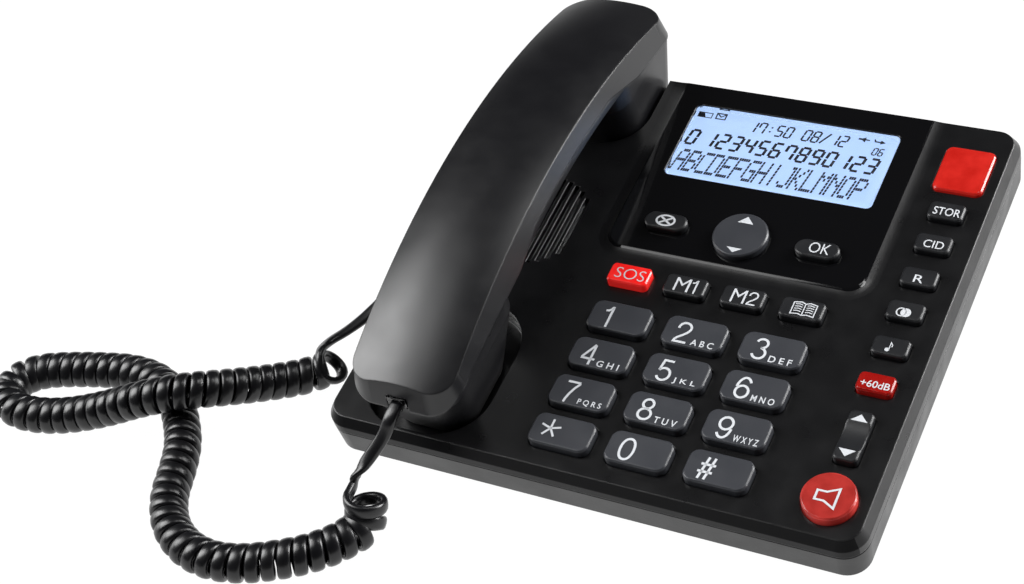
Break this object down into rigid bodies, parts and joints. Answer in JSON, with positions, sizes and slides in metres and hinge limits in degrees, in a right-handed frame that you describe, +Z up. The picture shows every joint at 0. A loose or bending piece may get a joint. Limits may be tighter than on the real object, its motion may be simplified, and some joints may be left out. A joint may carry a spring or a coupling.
{
  "type": "big button desk telephone",
  "caption": "Wedge-shaped corded desk telephone with large sprung keys, a lit display, and a handset resting across the left side on its curly cord.",
  "frame": {"origin": "centre of the telephone's footprint at the level it stands on, the cord left out", "axes": "+Z up, +X to the right as the user sees it, +Y to the back, where the deck rises"},
  "size_m": [0.3479, 0.2681, 0.0826],
  "materials": {
    "black_housing": "satin black moulded plastic",
    "black_handset": "gloss black moulded plastic",
    "black_key": "satin black key cap",
    "clear_window": "clear acrylic window",
    "blue_display": "backlit liquid crystal panel",
    "white_light": "white light guide",
    "red_lens": "translucent red lens",
    "board_green": "circuit board",
    "silicone": "silicone switch mat",
    "speaker_steel": "speaker frame and magnet",
    "clear_plug": "clear modular plug",
    "cord_black": "black cord jacket",
    "foot_rubber": "rubber foot",
    "steel": "zinc plated steel",
    "cell_wrap": "battery cell can"
  },
  "bodies": {
    "base": {"upper_housing": "black_housing", "lower_housing": "black_housing", "display_window": "clear_window", "lcd_panel": "blue_display", "lcd_backlight": "white_light", "main_board": "board_green", "keypad_mat": "silicone", "ring_lamp_lens": "red_lens", "ring_lamp_led": "clear_plug", "loudspeaker": "speaker_steel", "cord_jack": "black_housing", "line_jack": "black_housing", "hook_switch": "black_housing", "battery_cells": "cell_wrap", "battery_contacts": "steel", "rubber_feet": "foot_rubber", "housing_screws": "steel", "board_screws": "steel", "base_plug": "clear_plug", "base_lead": "cord_black", "curly_cord": "cord_black", "handset_lead": "cord_black"},
    "handset": {"handset_outer_shell": "black_handset", "handset_inner_shell": "black_handset", "receiver_capsule": "speaker_steel", "microphone_capsule": "speaker_steel", "handset_weight": "steel", "handset_jack": "black_housing", "handset_screws": "steel", "handset_plug": "clear_plug"},
    "hook": {"hook_plunger": "black_housing"},
    "door": {"battery_door": "black_housing"},
    "key_one": {"key_one": "black_key"},
    "key_two": {"key_two": "black_key"},
    "key_three": {"key_three": "black_key"},
    "key_four": {"key_four": "black_key"},
    "key_five": {"key_five": "black_key"},
    "key_six": {"key_six": "black_key"},
    "key_seven": {"key_seven": "black_key"},
    "key_eight": {"key_eight": "black_key"},
    "key_nine": {"key_nine": "black_key"},
    "key_star": {"key_star": "black_key"},
    "key_zero": {"key_zero": "black_key"},
    "key_hash": {"key_hash": "black_key"},
    "key_sos": {"key_sos": "black_key"},
    "key_memory_one": {"key_memory_one": "black_key"},
    "key_memory_two": {"key_memory_two": "black_key"},
    "key_phonebook": {"key_phonebook": "black_key"},
    "key_cancel": {"key_cancel": "black_key"},
    "key_ok": {"key_ok": "black_key"},
    "key_store": {"key_store": "black_key"},
    "key_caller_list": {"key_caller_list": "black_key"},
    "key_flash": {"key_flash": "black_key"},
    "key_redial": {"key_redial": "black_key"},
    "key_ringer": {"key_ringer": "black_key"},
    "key_boost": {"key_boost": "black_key"},
    "key_speaker": {"key_speaker": "black_key"},
    "key_up_down": {"key_up_down": "black_key"},
    "key_volume": {"key_volume": "black_key"}
  },
  "joints": [
    {"name": "handset_lift", "type": "slide", "parent": "base", "child": "handset", "axis": [0, -0.1478, 0.989], "range_m": [0, 0.03], "deforming": ["handset_lead"]},
    {"name": "hook_travel", "type": "slide", "parent": "base", "child": "hook", "axis": [0, -0.1478, 0.989], "range_m": [0, 0.004]},
    {"name": "door_slide", "type": "slide", "parent": "base", "child": "door", "axis": [0, -1, 0], "range_m": [0, 0.006]},
    {"name": "key_one_press", "type": "slide", "parent": "base", "child": "key_one", "axis": [0, 0.1478, -0.989], "range_m": [0, 0.0015], "stiffness_N_per_m": 250, "springref_m": -0.001},
    {"name": "key_two_press", "type": "slide", "parent": "base", "child": "key_two", "axis": [0, 0.1478, -0.989], "range_m": [0, 0.0015], "stiffness_N_per_m": 250, "springref_m": -0.001},
    {"name": "key_three_press", "type": "slide", "parent": "base", "child": "key_three", "axis": [0, 0.1478, -0.989], "range_m": [0, 0.0015], "stiffness_N_per_m": 250, "springref_m": -0.001},
    {"name": "key_four_press", "type": "slide", "parent": "base", "child": "key_four", "axis": [0, 0.1478, -0.989], "range_m": [0, 0.0015], "stiffness_N_per_m": 250, "springref_m": -0.001},
    {"name": "key_five_press", "type": "slide", "parent": "base", "child": "key_five", "axis": [0, 0.1478, -0.989], "range_m": [0, 0.0015], "stiffness_N_per_m": 250, "springref_m": -0.001},
    {"name": "key_six_press", "type": "slide", "parent": "base", "child": "key_six", "axis": [0, 0.1478, -0.989], "range_m": [0, 0.0015], "stiffness_N_per_m": 250, "springref_m": -0.001},
    {"name": "key_seven_press", "type": "slide", "parent": "base", "child": "key_seven", "axis": [0, 0.1478, -0.989], "range_m": [0, 0.0015], "stiffness_N_per_m": 250, "springref_m": -0.001},
    {"name": "key_eight_press", "type": "slide", "parent": "base", "child": "key_eight", "axis": [0, 0.1478, -0.989], "range_m": [0, 0.0015], "stiffness_N_per_m": 250, "springref_m": -0.001},
    {"name": "key_nine_press", "type": "slide", "parent": "base", "child": "key_nine", "axis": [0, 0.1478, -0.989], "range_m": [0, 0.0015], "stiffness_N_per_m": 250, "springref_m": -0.001},
    {"name": "key_star_press", "type": "slide", "parent": "base", "child": "key_star", "axis": [0, 0.1478, -0.989], "range_m": [0, 0.0015], "stiffness_N_per_m": 250, "springref_m": -0.001},
    {"name": "key_zero_press", "type": "slide", "parent": "base", "child": "key_zero", "axis": [0, 0.1478, -0.989], "range_m": [0, 0.0015], "stiffness_N_per_m": 250, "springref_m": -0.001},
    {"name": "key_hash_press", "type": "slide", "parent": "base", "child": "key_hash", "axis": [0, 0.1478, -0.989], "range_m": [0, 0.0015], "stiffness_N_per_m": 250, "springref_m": -0.001},
    {"name": "key_sos_press", "type": "slide", "parent": "base", "child": "key_sos", "axis": [0, 0.1478, -0.989], "range_m": [0, 0.0015], "stiffness_N_per_m": 250, "springref_m": -0.001},
    {"name": "key_memory_one_press", "type": "slide", "parent": "base", "child": "key_memory_one", "axis": [0, 0.1478, -0.989], "range_m": [0, 0.0015], "stiffness_N_per_m": 250, "springref_m": -0.001},
    {"name": "key_memory_two_press", "type": "slide", "parent": "base", "child": "key_memory_two", "axis": [0, 0.1478, -0.989], "range_m": [0, 0.0015], "stiffness_N_per_m": 250, "springref_m": -0.001},
    {"name": "key_phonebook_press", "type": "slide", "parent": "base", "child": "key_phonebook", "axis": [0, 0.1478, -0.989], "range_m": [0, 0.0015], "stiffness_N_per_m": 250, "springref_m": -0.001},
    {"name": "key_cancel_press", "type": "slide", "parent": "base", "child": "key_cancel", "axis": [0, 0.1478, -0.989], "range_m": [0, 0.0015], "stiffness_N_per_m": 250, "springref_m": -0.001},
    {"name": "key_ok_press", "type": "slide", "parent": "base", "child": "key_ok", "axis": [0, 0.1478, -0.989], "range_m": [0, 0.0015], "stiffness_N_per_m": 250, "springref_m": -0.001},
    {"name": "key_store_press", "type": "slide", "parent": "base", "child": "key_store", "axis": [0, 0.1478, -0.989], "range_m": [0, 0.0015], "stiffness_N_per_m": 250, "springref_m": -0.001},
    {"name": "key_caller_list_press", "type": "slide", "parent": "base", "child": "key_caller_list", "axis": [0, 0.1478, -0.989], "range_m": [0, 0.0015], "stiffness_N_per_m": 250, "springref_m": -0.001},
    {"name": "key_flash_press", "type": "slide", "parent": "base", "child": "key_flash", "axis": [0, 0.1478, -0.989], "range_m": [0, 0.0015], "stiffness_N_per_m": 250, "springref_m": -0.001},
    {"name": "key_redial_press", "type": "slide", "parent": "base", "child": "key_redial", "axis": [0, 0.1478, -0.989], "range_m": [0, 0.0015], "stiffness_N_per_m": 250, "springref_m": -0.001},
    {"name": "key_ringer_press", "type": "slide", "parent": "base", "child": "key_ringer", "axis": [0, 0.1478, -0.989], "range_m": [0, 0.0015], "stiffness_N_per_m": 250, "springref_m": -0.001},
    {"name": "key_boost_press", "type": "slide", "parent": "base", "child": "key_boost", "axis": [0, 0.1478, -0.989], "range_m": [0, 0.0015], "stiffness_N_per_m": 250, "springref_m": -0.001},
    {"name": "key_speaker_press", "type": "slide", "parent": "base", "child": "key_speaker", "axis": [0, 0.1478, -0.989], "range_m": [0, 0.0015], "stiffness_N_per_m": 250, "springref_m": -0.001},
    {"name": "key_up_down_tilt", "type": "hinge", "parent": "base", "child": "key_up_down", "pos_m": [0.01785, 0.01562, 0.0338], "axis": [1, 0, 0], "range_deg": [-3, 3], "stiffness_Nm_per_rad": 0.03},
    {"name": "key_volume_tilt", "type": "hinge", "parent": "base", "child": "key_volume", "pos_m": [0.08665, -0.05806, 0.02279], "axis": [1, 0, 0], "range_deg": [-3, 3], "stiffness_Nm_per_rad": 0.03}
  ],
  "couplings": [
    {"joint": "hook_travel", "follows": "handset_lift", "ratio": 0.13}
  ]
}
